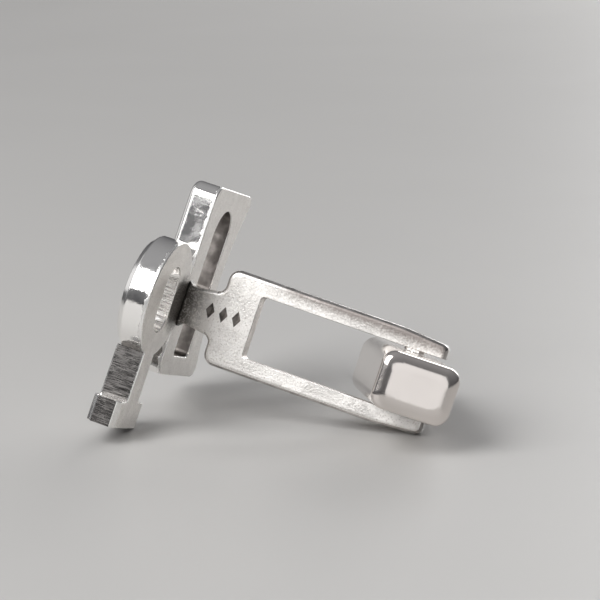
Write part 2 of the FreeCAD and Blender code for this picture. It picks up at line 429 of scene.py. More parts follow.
class Recipe:
    """Node tree of one finish, wired a node at a time."""

    def __init__(self, name: str, place: Matrix) -> None:
        """Starts a material that reads millimetres in a bench frame.

        Args:
            name: Name of the material.
            place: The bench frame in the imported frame, in metres.
        """
        self.material = bpy.data.materials.new(name)
        self.material.use_nodes = True
        self.tree = self.material.node_tree
        self.shader = self.tree.nodes["Principled BSDF"]
        bench = {
            "Vector": self.node("TexCoord", {})["Object"],
            "Location": tuple(place.to_translation()),
            "Rotation": tuple(place.to_euler()),
            "Scale": (MM, MM, MM),
        }
        self.spot = self.node("Mapping", bench, vector_type="TEXTURE")["Vector"]

    def feed(self, node: bpy.types.Node, inputs: dict[str | int, Feed]) -> None:
        """Links a node's inputs to sockets, or sets constants on them.

        Args:
            node: The node.
            inputs: What each input takes, by its name or number.
        """
        for key, value in inputs.items():
            if isinstance(value, Socket):
                self.tree.links.new(value, node.inputs[key])
            else:
                node.inputs[key].default_value = value

    def node(self, kind: str, inputs: dict[str | int, Feed], **options: str) -> bpy.types.bpy_prop_collection:
        """Adds a node.

        Args:
            kind: Kind of node, without the prefix that all kinds share.
            inputs: What each input takes, by its name or number.
            **options: Its settings, by name.

        Returns:
            The node's outputs.
        """
        node = self.tree.nodes.new(f"ShaderNode{kind}")
        for option, choice in options.items():
            setattr(node, option, choice)
        self.feed(node, inputs)
        return node.outputs

    def stretched(self, run: Triple) -> Socket:
        """Coordinates drawn out to features of the given lengths along the axes, for lines and brushing."""
        scale = tuple(1 / length for length in run)
        return self.node("Mapping", {"Vector": self.spot, "Scale": scale})["Vector"]

    def noise(self, size: float, detail: float = 2.0, spot: Socket | None = None) -> Socket:
        """Soft random pattern from 0 to 1, with features of a size in millimetres and layers of detail."""
        inputs = {"Vector": spot or self.spot, "Scale": 1 / size, "Detail": detail}
        return self.node("TexNoise", inputs)["Fac"]

    def along(self, axis: str) -> Socket:
        """One bench coordinate in millimetres."""
        return self.node("SeparateXYZ", {0: self.spot})[axis]

    def distance(self, spot: Triple) -> Socket:
        """Distance in millimetres from a point of the bench frame."""
        return self.node("VectorMath", {0: self.spot, 1: spot}, operation="DISTANCE")["Value"]

    def range(self, value: Socket, source: Span, target: Span = (0.0, 1.0)) -> Socket:
        """Carries a value smoothly from one range to another."""
        inputs = dict(zip(("Value", "From Min", "From Max", "To Min", "To Max"), (value, *source, *target)))
        return self.node("MapRange", inputs, interpolation_type="SMOOTHSTEP")["Result"]

    def sum(self, first: Socket, second: Socket, share: float) -> Socket:
        """First value plus a share of the second."""
        return self.node("Math", {0: second, 1: share, 2: first}, operation="MULTIPLY_ADD")["Value"]

    def tone(self, factor: Socket, first: Colour | Socket, second: Colour) -> Socket:
        """Mixes a colour, which may be mixed already, with another, whose share is the factor."""
        # The sockets of a Mix node share their names, so they are told apart by number
        start = first if isinstance(first, Socket) else (*first, 1)
        return self.node("Mix", {0: factor, 6: start, 7: (*second, 1)}, data_type="RGBA")[2]

    def level(self, factor: Socket, first: Socket, second: float) -> Socket:
        """Mixes a value with a number, whose share is the factor."""
        return self.node("Mix", {0: factor, 2: first, 3: second}, data_type="FLOAT")[0]

    def bump(self, height: Socket, depth: float, under: Socket | None = None) -> Socket:
        """Normal bent by a relief, whose depth is in millimetres and which may lie on another."""
        inputs = {"Height": height, "Distance": depth * MM, **({"Normal": under} if under else {})}
        return self.node("Bump", inputs)["Normal"]

    def metal(self, colour: Socket, roughness: Socket, relief: Socket) -> Material:
        """Wires the shader as bare metal.

        Args:
            colour: Colour of the metal.
            roughness: How dull it is.
            relief: Its normal.

        Returns:
            The finished material.
        """
        inputs = {"Metallic": 1.0, "Base Color": colour, "Roughness": roughness, "Normal": relief}
        self.feed(self.shader, inputs)
        return self.material


@dataclass(frozen=True)
class SatinSilver:
    """Tumbled silver with a fine bright grain and dark specks, darker round the neck's joint, with painted
    shade on the upper arm's outer edge. Millimetres.
    """

    darkening: Darkening
    light: Colour = (0.93, 0.907, 0.875)
    shade: Colour = (0.84, 0.814, 0.78)
    cloud: float = 1.3
    cloud_band: Span = (0.62, 0.38)
    speck: Colour = (0.52, 0.48, 0.445)
    speck_size: float = 0.13
    speck_band: Span = (0.53, 0.70)
    speck_share: float = 0.6
    sparkle_band: Span = (0.50, 0.66)
    sparkle_share: float = 0.40
    neck_dark: Colour = (0.10, 0.09, 0.08)
    neck_dark_size: float = 0.7
    neck_dark_wander: float = 1.2
    neck_dark_grain: float = 0.9
    neck_dark_share: float = 0.95
    neck_fade: Span = (2.45, 0.05)
    seam_fade: Span = (2.45, 1.35)
    seam_middle: Triple = (0.0, -1.7, -0.1)
    joint: Colour = (0.02, 0.018, 0.016)
    joint_fade: Span = (0.26, 0.08)
    # Colour of the painted shade along the upper arm's outer edge, towards the tips
    rim: Colour = (0.24, 0.208, 0.193)
    upper_shade_grain: float = 0.8
    upper_shade_cloud: float = 0.6
    upper_shade_growth: float = 0.03
    upper_shade_fade: Span = (3.65, 4.7)
    upper_shade_share: float = 0.88
    upper_shade_start: Span = (9.0, 5.5)
    grain: float = 0.17
    grain_depth: float = 0.018
    dull_grain: float = 0.4
    dull_band: Span = (0.45, 0.9)
    roughness: Span = (0.36, 0.54)

    def make(self, name: str, place: Matrix) -> Material:
        """Builds the material.

        Args:
            name: Name of the material.
            place: The bench frame that its grain lies in.

        Returns:
            The material.
        """
        recipe = Recipe(name, place)
        grain = recipe.noise(self.grain, detail=3)
        cloud = recipe.noise(self.cloud, detail=3)
        colour = recipe.tone(recipe.range(cloud, self.cloud_band), self.light, self.shade)
        specks = recipe.noise(self.speck_size, detail=3)
        specks = recipe.range(specks, self.speck_band, (0.0, self.speck_share))
        colour = recipe.tone(specks, colour, self.speck)
        if self.darkening is Darkening.NECK:
            reach, fade = recipe.along("X"), self.neck_fade
        else:
            reach, fade = recipe.distance(self.seam_middle), self.seam_fade
        # Darker round the joint of the neck and the face, with a ragged edge from noise and grain
        ragged = recipe.sum(reach, recipe.noise(self.neck_dark_size, detail=4), -self.neck_dark_wander)
        ragged = recipe.sum(ragged, grain, self.neck_dark_grain)
        neck_dark = recipe.range(ragged, fade, (0.0, self.neck_dark_share))
        sparkle = recipe.range(recipe.noise(self.speck_size, detail=1), self.sparkle_band)
        colour = recipe.tone(recipe.sum(neck_dark, sparkle, -self.sparkle_share), colour, self.neck_dark)
        if self.darkening is Darkening.NECK:
            joint = recipe.range(reach, self.joint_fade, (0.0, self.neck_dark_share))
            colour = recipe.tone(joint, colour, self.joint)
            # Painted shade: the upper arm darkens towards its outer edge, from the middle of the arm out to
            # its tip
            height = recipe.sum(recipe.sum(recipe.along("Z"), grain, self.upper_shade_grain), cloud, self.upper_shade_cloud)
            height = recipe.sum(height, reach, self.upper_shade_growth)
            rim = recipe.range(height, self.upper_shade_fade, (0.0, self.upper_shade_share))
            rim = recipe.level(recipe.range(reach, self.upper_shade_start), rim, 0.0)
            colour = recipe.tone(rim, colour, self.rim)
        roughness = recipe.range(recipe.sum(cloud, grain, self.dull_grain), self.dull_band, self.roughness)
        return recipe.metal(colour, roughness, recipe.bump(grain, self.grain_depth))


@dataclass(frozen=True)
class MirrorSilver:
    """Silver polished on a wheel, with the slight waves and hair scratches of handwork. Millimetres."""

    light: Colour = (0.95, 0.935, 0.915)
    shade: Colour = (0.90, 0.885, 0.86)
    wave: float = 2.6
    wave_depth: float = 0.010
    scratch: Triple = (0.05, 2.2, 0.05)
    scratch_depth: float = 0.0004
    patch: float = 0.8
    dull_scratch: float = 0.3
    dull_band: Span = (0.4, 0.9)
    roughness: Span = (0.05, 0.13)

    def make(self, name: str, place: Matrix) -> Material:
        """Builds the material.

        Args:
            name: Name of the material.
            place: The bench frame that its scratches lie in.

        Returns:
            The material.
        """
        recipe = Recipe(name, place)
        wave = recipe.noise(self.wave, detail=1)
        scratch = recipe.noise(1.0, spot=recipe.stretched(self.scratch))
        dullness = recipe.sum(recipe.noise(self.patch, detail=3), scratch, self.dull_scratch)
        relief = recipe.bump(scratch, self.scratch_depth, recipe.bump(wave, self.wave_depth))
        colour = recipe.tone(wave, self.light, self.shade)
        return recipe.metal(colour, recipe.range(dullness, self.dull_band, self.roughness), relief)


BRUSHED_FRONT = MirrorSilver(scratch=(0.07, 0.07, 2.6), scratch_depth=0.003, roughness=(0.13, 0.19))
WARM_MIRROR = MirrorSilver(
    light=(0.83, 0.778, 0.741),
    shade=(0.77, 0.72, 0.686),
    wave_depth=0.004,
    roughness=(0.12, 0.16),
)


@dataclass(frozen=True)
class WallSilver:
    """Polished outer wall of the face, with a chipped satin margin where it meets the back. Millimetres."""

    light: Colour = (0.95, 0.935, 0.915)
    margin: Colour = (0.93, 0.92, 0.90)
    margin_width: float = 0.26
    margin_fade: float = 0.03
    margin_roughness: float = 0.34
    chip: float = 0.42
    chip_reach: float = 0.7
    chip_depth: float = 0.03
    wave: float = 2.0
    wave_depth: float = 0.022
    mottle: float = 0.24
    mottle_depth: float = 0.005
    patch: float = 0.6
    roughness: Span = (0.07, 0.16)

    def make(self, name: str, place: Matrix) -> Material:
        """Builds the material.

        Args:
            name: Name of the material.
            place: The bench frame, whose X runs through the wall's thickness.

        Returns:
            The material.
        """
        recipe = Recipe(name, place)
        ragged = recipe.sum(recipe.along("X"), recipe.noise(self.chip, detail=4), self.chip_reach)
        edge = self.chip_reach / 2 - self.margin_width
        mask = recipe.range(ragged, (edge - self.margin_fade, edge + self.margin_fade))
        polish = recipe.range(recipe.noise(self.patch, detail=3), MIDDLE_BAND, self.roughness)
        relief = recipe.bump(recipe.noise(self.wave), self.wave_depth)
        relief = recipe.bump(recipe.noise(self.mottle, detail=3), self.mottle_depth, relief)
        relief = recipe.bump(mask, self.chip_depth, relief)
        colour = recipe.tone(mask, self.light, self.margin)
        return recipe.metal(colour, recipe.level(mask, polish, self.margin_roughness), relief)


@dataclass(frozen=True)
class FiledSilver:
    """Wall left from the file or saw, with fine strokes through its thickness. Millimetres."""

    light: Colour = (0.93, 0.91, 0.89)
    shade: Colour = (0.60, 0.585, 0.57)
    stroke: Triple = (1.6, 0.9, 0.085)
    stroke_depth: float = 0.020
    stroke_band: Span = (0.58, 0.36)
    patch: float = 0.8
    dull_patch: float = 0.5
    dull_band: Span = (0.5, 1.0)
    roughness: Span = (0.16, 0.34)

    def make(self, name: str, place: Matrix) -> Material:
        """Builds the material.

        Args:
            name: Name of the material.
            place: The bench frame, whose X runs along the strokes.

        Returns:
            The material.
        """
        recipe = Recipe(name, place)
        stroke = recipe.noise(1.0, detail=3, spot=recipe.stretched(self.stroke))
        dullness = recipe.sum(stroke, recipe.noise(self.patch), self.dull_patch)
        colour = recipe.tone(recipe.range(stroke, self.stroke_band), self.light, self.shade)
        roughness = recipe.range(dullness, self.dull_band, self.roughness)
        return recipe.metal(colour, roughness, recipe.bump(stroke, self.stroke_depth))


# A darker copy of the filed finish: painted shade on the walls of the T-bar and its foot below the ring
SHADED_FILED_WALL = FiledSilver((0.27, 0.257, 0.248), (0.09, 0.085, 0.08), (1.3, 0.8, 0.05), 0.008)


@dataclass(frozen=True)
class PlainMetal:
    """One metal with a light grain, for worn edges, sawn walls, punched marks and steel, and for edges and
    recesses whose colours are darkened as painted reflection and shade. Millimetres.
    """

    light: Colour
    shade: Colour
    grain: float
    grain_depth: float
    roughness: Span
    cloud_ratio: float = 6.0
    cloud_band: Span = (0.35, 0.65)

    def make(self, name: str, place: Matrix) -> Material:
        """Builds the material.

        Args:
            name: Name of the material.
            place: The bench frame that its grain lies in.

        Returns:
            The material.
        """
        recipe = Recipe(name, place)
        grain = recipe.noise(self.grain, detail=3)
        cloud = recipe.range(recipe.noise(self.cloud_ratio * self.grain), self.cloud_band)
        roughness = recipe.range(grain, MIDDLE_BAND, self.roughness)
        relief = recipe.bump(grain, self.grain_depth)
        return recipe.metal(recipe.tone(cloud, self.light, self.shade), roughness, relief)


WORN_EDGE = PlainMetal((0.95, 0.94, 0.92), (0.88, 0.865, 0.84), 0.14, 0.004, (0.14, 0.28))
# Buffed silver for the post's outer roundings, its colours darkened as a painted reflection of a dark room
BUFFED_EDGE_PAINTED_REFLECTION = PlainMetal((0.62, 0.595, 0.575), (0.42, 0.40, 0.385), 0.16, 0.004, (0.12, 0.24))
# Dull cast wall inside the buckle's openings, its colours darkened further as painted shade
CAST_AND_PAINTED_SHADE_RECESS = PlainMetal((0.32, 0.293, 0.275), (0.15, 0.136, 0.126), 0.20, 0.010, (0.30, 0.48))
SAWN_WALL = PlainMetal((0.82, 0.765, 0.725), (0.62, 0.575, 0.54), 0.12, 0.012, (0.26, 0.42))
PUNCH_TARNISH = PlainMetal((0.20, 0.18, 0.165), (0.09, 0.08, 0.075), 0.10, 0.008, (0.35, 0.55))
SPRING_STEEL = PlainMetal((0.55, 0.55, 0.56), (0.46, 0.46, 0.47), 0.20, 0.003, (0.22, 0.36))


@dataclass(frozen=True)
class Bench:
    """Frames that the pieces are modelled in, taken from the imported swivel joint.

    In the post's frame x runs along the post from the back of the face, z along the pivot pin and y across
    the plate. The toggle's frame has its origin on the pin, and y along the toggle.
    """

    post: Matrix
    toggle: Matrix

    @classmethod
    def from_joint(cls, joint: dict, pivot_reach: float, swing: float) -> Self:
        """Works the frames out from the joint's place and axis.

        Args:
            joint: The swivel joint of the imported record.
            pivot_reach: Distance of the pin from the back of the face, in millimetres.
            swing: Angle in degrees by which the toggle is turned from crosswise.

        Returns:
            The two frames, in metres.
        """
        pin = Vector(joint["axis"]).normalized()
        along = Y.cross(pin).normalized()
        turn = Matrix((along, pin.cross(along), pin)).transposed().to_4x4()
        pivot = Vector(joint["pos_m"])
        post = Matrix.Translation(pivot - along * pivot_reach * MM) @ turn
        toggle = Matrix.Translation(pivot) @ turn @ Matrix.Rotation(math.radians(swing), 4, "Z")
        return cls(post, toggle)


@dataclass
class OpenworkFace:
    """Flat openwork face of three pieces: a buckle frame, a ring with an eye and a T-bar.

    Sizes are in millimetres. Leans are shares of a unit normal that tell the kinds of surface apart.
    """

    bench: Bench
    thickness: float = 2.3
    edge_break: float = 0.1
    front_round: float = 0.5
    near_reach: float = 0.875
    buckle_top: float = 9.5
    buckle_height: float = 15.4
    near_stem: float = 2.6
    slot_width: float = 4.1
    far_stem: float = 2.0
    waist_depth: float = 2.2
    top_bar: float = 1.7
    crossbar: float = 2.2
    bottom_bar: float = 1.6
    buckle_corner: float = 0.9
    buckle_near_corner: float = 1.2
    slot_corner: float = 0.5
    ring_radius: float = 4.6
    ring_flat: float = 0.6
    eye_width: float = 3.0
    eye_height: float = 5.2
    bar_flat: float = 0.3
    bar_width: float = 2.65
    bar_length: float = 4.0
    foot_width: float = 6.0
    foot_height: float = 2.1
    foot_bevel: float = 0.35
    foot_break: float = 0.07
    back_lean: float = 0.95
    front_lean: float = 0.1
    edge_lean: float = 0.2
    ledge_lean: float = 0.3
    sharp_fold: float = 35.0

    @property
    def ring_middle(self) -> float:
        """Place of the ring's middle along Y."""
        return -(self.near_reach + self.ring_radius - self.ring_flat)

    @property
    def bar_top(self) -> float:
        """Place along Z where the bar meets the ring."""
        return -(self.ring_radius - self.bar_flat)

    @property
    def slot_across(self) -> Span:
        """Near and far side of the buckle's openings, along Y."""
        near = self.near_stem - self.near_reach
        return near, near + self.slot_width

    @property
    def slot_rise(self) -> Span:
        """Bottom and top of the buckle's openings, along Z."""
        return self.buckle_top - self.buckle_height + self.bottom_bar, self.buckle_top - self.top_bar

    def on_front(self, edge: Edge) -> bool:
        """Whether an edge is a fold at the front."""
        return steep(edge) and lies_at(edge, X, -self.thickness)

    def break_edges(self, piece: Workpiece) -> None:
        """Breaks the sharp edges round the openings and the back."""
        piece.bevel(
            lambda edge: steep(edge) and lies_at(edge, X, -self.thickness, 0.0),
            self.edge_break,
            segments=3,
        )

    def window(self, across: Span, rise: Span, corners: Span) -> Workpiece:
        """Cutter for an opening through the face.

        Args:
            across: Where it starts and ends along Y.
            rise: Where it starts and ends along Z.
            corners: Radius of its lower and of its upper corners.

        Returns:
            The cutter.
        """
        cutter = Workpiece.block("cutter", (-2 * self.thickness, self.thickness), across, rise)
        for level, radius in zip(rise, corners):
            cutter.bevel(lambda edge: runs_along(edge, X) and centred_at(edge, Z, level), radius, segments=12)
        return cutter

    def surface(self, spot: Vector, normal: Vector) -> Surface:
        """Kind of surface of a face.

        Args:
            spot: Middle of the face.
            normal: Its normal.

        Returns:
            The kind of surface.
        """
        if normal.x > self.back_lean:
            return Surface.SATIN
        if normal.x < -self.front_lean:
            return Surface.POLISHED
        if normal.x > self.edge_lean:
            return Surface.WORN_OR_PAINTED_REFLECTION
        if Vector((spot.y - self.ring_middle, spot.z)).length < self.eye_height / 2 + self.edge_break:
            return Surface.FILED
        if spot.y < -self.near_reach - TOUCH:
            if spot.z > -self.ring_radius:
                return Surface.WALL
            # Below the ring the foot's upward ledges keep bright silver, and the other walls take the filed
            # finish darkened as painted shade
            return Surface.WORN_OR_PAINTED_REFLECTION if normal.z > self.ledge_lean else Surface.TARNISHED
        limits = ((spot.y, self.slot_across), (spot.z, self.slot_rise))
        in_slot = all(low - TOUCH < place < high + TOUCH for place, (low, high) in limits)
        # Walls inside the buckle's openings take the recess finish, darkened as painted shade
        return Surface.RECESS if in_slot else Surface.WALL

    def hollow(self, piece: Workpiece, waist: float) -> None:
        """Hollows the buckle's far side to an arc and rounds the two horns that it leaves.

        Args:
            piece: The buckle.
            waist: Place along Y of the hollow's deepest point.
        """
        half = self.buckle_height / 2
        radius = (half**2 + self.waist_depth**2) / (2 * self.waist_depth)
        centre = Vector((0, waist + radius, self.buckle_top - half))
        through = X * 2 * self.thickness
        piece.cut(Workpiece.rod("cutter", radius, centre - through, centre + through, sides=192))
        horn_angle = math.pi / 2 - 2 * math.atan(self.waist_depth / half)
        horn_reach = self.buckle_corner / math.tan(horn_angle / 2)

        def in_horn(edge: Edge) -> bool:
            """Whether an edge runs through the hollowed side."""
            return runs_along(edge, X) and middle(edge).y > waist

        def below_tip(edge: Edge) -> bool:
            """Whether an edge of the arc lies where a horn's rounding goes."""
            drop = half - abs(middle(edge).z - centre.z)
            return in_horn(edge) and not steep(edge) and drop < horn_reach + TOUCH

        piece.dissolve(below_tip)
        piece.bevel(lambda edge: in_horn(edge) and steep(edge), horn_reach, segments=12)

    def buckle(self) -> Workpiece:
        """Models the tall frame with its two openings and its hollowed far side.

        Returns:
            The frame.
        """
        near = -self.near_reach
        bottom, top = self.slot_rise
        waist = self.slot_across[1] + self.far_stem
        piece = Workpiece.block(
            "openwork_buckle",
            (-self.thickness, 0),
            (near, waist + self.waist_depth + self.front_round),
            (self.buckle_top - self.buckle_height, self.buckle_top),
        )
        piece.bevel(
            lambda edge: runs_along(edge, X) and centred_at(edge, Y, near),
            self.buckle_near_corner,
            segments=14,
        )
        self.hollow(piece, waist)
        piece.bevel(self.on_front, self.front_round, segments=6)
        half_bar = self.crossbar / 2
        arch = self.slot_width / 2 - TOUCH
        piece.cut(self.window(self.slot_across, (half_bar, top), (self.slot_corner, arch)))
        piece.cut(self.window(self.slot_across, (bottom, -half_bar), (self.slot_corner, self.slot_corner)))
        self.break_edges(piece)
        return piece

    def ring(self) -> Workpiece:
        """Models the ring with its eye and its two filed flats.

        Returns:
            The ring.
        """
        centre = Y * self.ring_middle
        front = centre - X * self.thickness
        piece = Workpiece.rod("openwork_ring", self.ring_radius, front, centre, sides=160)
        piece.bevel(self.on_front, self.front_round, CHAMFER)
        piece.bevel(
            lambda edge: steep(edge) and middle(edge).x < -self.edge_break,
            self.edge_break,
            segments=4,
        )
        half = self.eye_width / 2
        across = (self.ring_middle - half, self.ring_middle + half)
        rise = (-self.eye_height / 2, self.eye_height / 2)
        piece.cut(self.window(across, rise, (half - TOUCH, half - TOUCH)))
        self.break_edges(piece)
        piece.trim(Y * -self.near_reach, Y)
        piece.trim(Z * self.bar_top, -Z)
        return piece

    def tbar(self) -> Workpiece:
        """Models the bar under the ring with its bevelled foot.

        Returns:
            The bar.
        """
        foot_top = self.bar_top - self.bar_length
        half_foot = self.foot_width / 2
        half_bar = self.bar_width / 2
        piece = Workpiece.block(
            "openwork_tbar",
            (-self.thickness, 0),
            (self.ring_middle - half_foot, self.ring_middle + half_foot),
            (foot_top - self.foot_height, foot_top),
        )
        for side in (half_bar, -half_bar):
            piece.score(Y * (self.ring_middle + side), Y)
        piece.draw_out(
            Z,
            Z * self.bar_length,
            within=lambda centre: abs(centre.y - self.ring_middle) < half_bar,
        )
        piece.flatten()
        piece.bevel(lambda edge: runs_along(edge, Z) and middle(edge).z < foot_top, self.foot_bevel, CHAMFER)
        piece.bevel(lambda edge: runs_along(edge, Z) and middle(edge).z > foot_top, self.edge_break, CHAMFER)
        piece.bevel(
            lambda edge: steep(edge) and middle(edge).z < foot_top + TOUCH,
            self.foot_break,
            segments=3,
        )
        return piece

    def finishes(self) -> dict[Surface, Material]:
        """Makes the finishes of the face.

        Returns:
            The material of each kind of surface.
        """
        place = self.bench.post
        return {
            Surface.SATIN: SatinSilver(Darkening.SEAM, grain_depth=0.03).make("face_satin_back", place),
            Surface.POLISHED: BRUSHED_FRONT.make("face_brushed_front", place),
            Surface.WALL: WallSilver().make("face_polished_wall", place),
            Surface.FILED: FiledSilver().make("face_filed_wall", place),
            Surface.TARNISHED: SHADED_FILED_WALL.make("face_tarnished_wall", place),
            Surface.RECESS: CAST_AND_PAINTED_SHADE_RECESS.make("face_recess_with_painted_shade", place),
            Surface.WORN_OR_PAINTED_REFLECTION: WORN_EDGE.make("face_worn_edge", place),
        }

    def build(self) -> None:
        """Models, dresses and hands over the three pieces."""
        finishes = self.finishes()
        pieces = {"face_buckle": self.buckle(), "face_ring": self.ring(), "face_tbar": self.tbar()}
        for node, piece in pieces.items():
            piece.dress(finishes, self.surface, self.sharp_fold)
            piece.hand_over(self.bench.post, Body.SHANK, Slot.FACE, node)


@dataclass
class ForkedPost:
    """Flat forked post with its neck, shoulders, arms, pivot bosses and punched marks.

    Sizes are in millimetres. Leans are shares of a unit normal that tell the kinds of surface apart.
    """

    bench: Bench
    thickness: float = 1.45
    width: float = 7.75
    arm_gap: float = 5.0
    neck_root: float = 2.8
    neck_end: float = 3.7
    neck_length: float = 2.9
    root_flare: float = 0.45
    root_radius: float = 0.5
    bridge_length: float = 3.0
    pivot_reach: float = 18.5
    tip_reach: float = 2.6
    tip_width: float = 1.05
    taper_length: float = 3.9
    shoulder_radius: float = 0.9
    neck_radius: float = 0.5
    window_radius: float = 0.3
    window_overshoot: float = 1.0
    tip_radius: float = 0.45
    taper_reach: float = 0.2
    outer_round: float = 0.38
    inner_break: float = 0.06
    hole_radius: float = 0.41
    boss_diameter: float = 1.6
    boss_height: float = 0.2
    boss_root: float = 0.3
    boss_inset: float = 0.1
    mark_middle: Span = (3.45, 0.15)
    mark_pitch: float = 1.1
    mark_size: Span = (0.72, 1.3)
    mark_depth: float = 0.16
    mark_lean: float = 0.995
    side_lean: float = 0.9
    sharp_fold: float = 40.0

    @property
    def tip(self) -> float:
        """Place of the arms' tips along X."""
        return self.pivot_reach + self.tip_reach

    @property
    def tip_z(self) -> float:
        """Distance of an arm's outer side from the middle line at its tip."""
        return self.arm_gap / 2 + self.tip_width

    @property
    def window_start(self) -> float:
        """Place of the window's wall along X."""
        return self.neck_length + self.bridge_length

    @property
    def flare_width(self) -> float:
        """Width of the neck where its root flares out."""
        slope = (self.neck_end - self.neck_root) / self.neck_length
        return self.neck_root + slope * self.root_flare

    def in_fork(self, spot: Vector) -> bool:
        """Whether a place lies on the window's wall or on the inner side of an arm."""
        return spot.x > self.window_start - TOUCH and abs(spot.z) < self.arm_gap / 2 + TOUCH

    def plate(self) -> Workpiece:
        """Models the plate with its neck, tapered arms and window, its outer corners still sharp.

        Returns:
            The plate.
        """
        half = self.thickness / 2
        width = (-self.width / 2, self.width / 2)
        piece = Workpiece.block("forked_post", (self.neck_length, self.tip), (-half, half), width)
        for side in (1, -1):
            piece.score(Z * (side * self.neck_end / 2), Z)
        piece.draw_out(
            -X,
            -X * (self.neck_length - self.root_flare),
            Vector((1, 1, self.flare_width / self.neck_end)),
            within=lambda centre: abs(centre.z) < self.neck_end / 2,
        )
        root_width = self.neck_root + 2 * self.root_flare
        piece.draw_out(-X, -X * self.root_flare, Vector((1, 1, root_width / self.flare_width)))
        piece.flatten()
        drop = self.width / 2 - self.tip_z
        for side in (1, -1):
            outward = Vector((drop, 0, side * self.taper_length)).normalized()
            piece.trim(Vector((self.tip, 0, side * self.tip_z)), outward)
        opening = Workpiece.block(
            "cutter",
            (self.window_start, self.tip + self.window_overshoot),
            (-self.thickness, self.thickness),
            (-self.arm_gap / 2, self.arm_gap / 2),
        )
        opening.bevel(
            lambda edge: runs_along(edge, Y) and centred_at(edge, X, self.window_start),
            self.window_radius,
            segments=5,
        )
        piece.cut(opening)
        return piece

    def round_corners(self, piece: Workpiece) -> None:
        """Rounds the outer corners of the plate, above and below its middle line.

        Args:
            piece: The post.
        """
        half = self.width / 2
        # The root flares out at 45 degrees, so its rounding spans half of that on either side
        root_reach = self.root_radius * math.tan(math.pi / 8)
        for x, z, reach, segments in (
            (self.root_flare, self.flare_width / 2, root_reach, 5),
            (self.neck_length, self.neck_end / 2, self.neck_radius, 6),
            (self.neck_length, half, self.shoulder_radius, 10),
            (self.tip - self.taper_length, half, self.taper_reach, 4),
            (self.tip, self.tip_z, self.tip_radius, 8),
        ):

            def at_corner(edge: Edge) -> bool:
                """Whether an edge stands at the corner."""
                gaps = (abs(middle(edge).x - x), abs(abs(middle(edge).z) - z))
                return runs_along(edge, Y) and max(gaps) < CORNER_TOUCH

            piece.bevel(at_corner, reach, segments)

    def round_over(self, piece: Workpiece) -> None:
        """Rounds the outer edges over and breaks those of the fork.

        Args:
            piece: The post.
        """

        def on_side(edge: Edge) -> bool:
            """Whether an edge is a fold of one of the plate's broad sides."""
            return steep(edge) and lies_at(edge, Y, -self.thickness / 2, self.thickness / 2)

        def outer(edge: Edge) -> bool:
            """Whether an edge is such a fold, but neither at the root nor in the fork."""
            return on_side(edge) and not lies_at(edge, X, 0.0) and not self.in_fork(middle(edge))

        piece.bevel(outer, self.outer_round, segments=6)
        piece.bevel(lambda edge: on_side(edge) and self.in_fork(middle(edge)), self.inner_break, segments=2)

    def add_pivot(self, piece: Workpiece) -> None:
        """Adds a boss to the inner side of each arm and drills the arms for the pin.

        Args:
            piece: The post.
        """
        pivot = X * self.pivot_reach
        inner = self.arm_gap / 2
        for up in (Z, -Z):
            start = pivot + up * (inner - self.boss_height)
            end = pivot + up * (inner + self.boss_root)
            boss = Workpiece.rod("boss", self.boss_diameter / 2, start, end, sides=48)
            for away in (Y, -Y):
                boss.trim(away * (self.thickness / 2 - self.boss_inset), away)
            piece.combine(boss, "UNION")
        reach = Z * self.width
        piece.cut(Workpiece.rod("cutter", self.hole_radius, pivot - reach, pivot + reach, sides=48))

    def punch(self, piece: Workpiece) -> None:
        """Strikes a row of plain lozenges into the near side of the plate.

        Args:
            piece: The post.
        """
        side = -self.thickness / 2
        width, height = self.mark_size
        for step in (-1, 0, 1):
            x, z = self.mark_middle[0] + step * self.mark_pitch, self.mark_middle[1]
            tip, mouth = (Vector((x, side + depth, z)) for depth in (self.mark_depth, -self.mark_depth))
            piece.cut(Workpiece.lozenge(2 * width, 2 * height, tip, mouth))

    def surface(self, spot: Vector, normal: Vector) -> Surface:
        """Kind of surface of a face.

        Args:
            spot: Middle of the face.
            normal: Its normal.

        Returns:
            The kind of surface.
        """
        near_side = spot.y < -self.thickness / 2 + self.mark_depth
        past_row = abs(spot.x - self.mark_middle[0]) - self.mark_pitch
        off_row = abs(spot.z - self.mark_middle[1])
        in_row = past_row < self.mark_size[0] / 2 and off_row < self.mark_size[1] / 2
        if near_side and in_row and abs(normal.y) < self.mark_lean:
            return Surface.PUNCHED
        if abs(normal.y) > self.side_lean:
            return Surface.SATIN
        if self.in_fork(spot):
            return Surface.SAWN
        # The post's outer roundings take the buffed edge, darkened as a painted reflection of a dark room
        return Surface.SATIN if spot.x < self.neck_length - self.neck_radius else Surface.WORN_OR_PAINTED_REFLECTION

    def build(self) -> None:
        """Models, dresses and hands over the post, and finishes its pin."""
        place = self.bench.post
        finishes = {
            Surface.SATIN: SatinSilver(Darkening.NECK).make("post_satin", place),
            Surface.WORN_OR_PAINTED_REFLECTION: BUFFED_EDGE_PAINTED_REFLECTION.make("post_buffed_edge_painted_reflection", place),
            Surface.SAWN: SAWN_WALL.make("post_sawn_wall", place),
            Surface.PUNCHED: PUNCH_TARNISH.make("post_punched_mark", place),
        }
        piece = self.plate()
        for work in (self.round_corners, self.round_over, self.add_pivot, self.punch):
            work(piece)
        piece.dress(finishes, self.surface, self.sharp_fold)
        piece.hand_over(place, Body.SHANK, Slot.POST, "post_frame")
        dress_node("pivot_pin", WORN_EDGE.make("pin_polished", place))


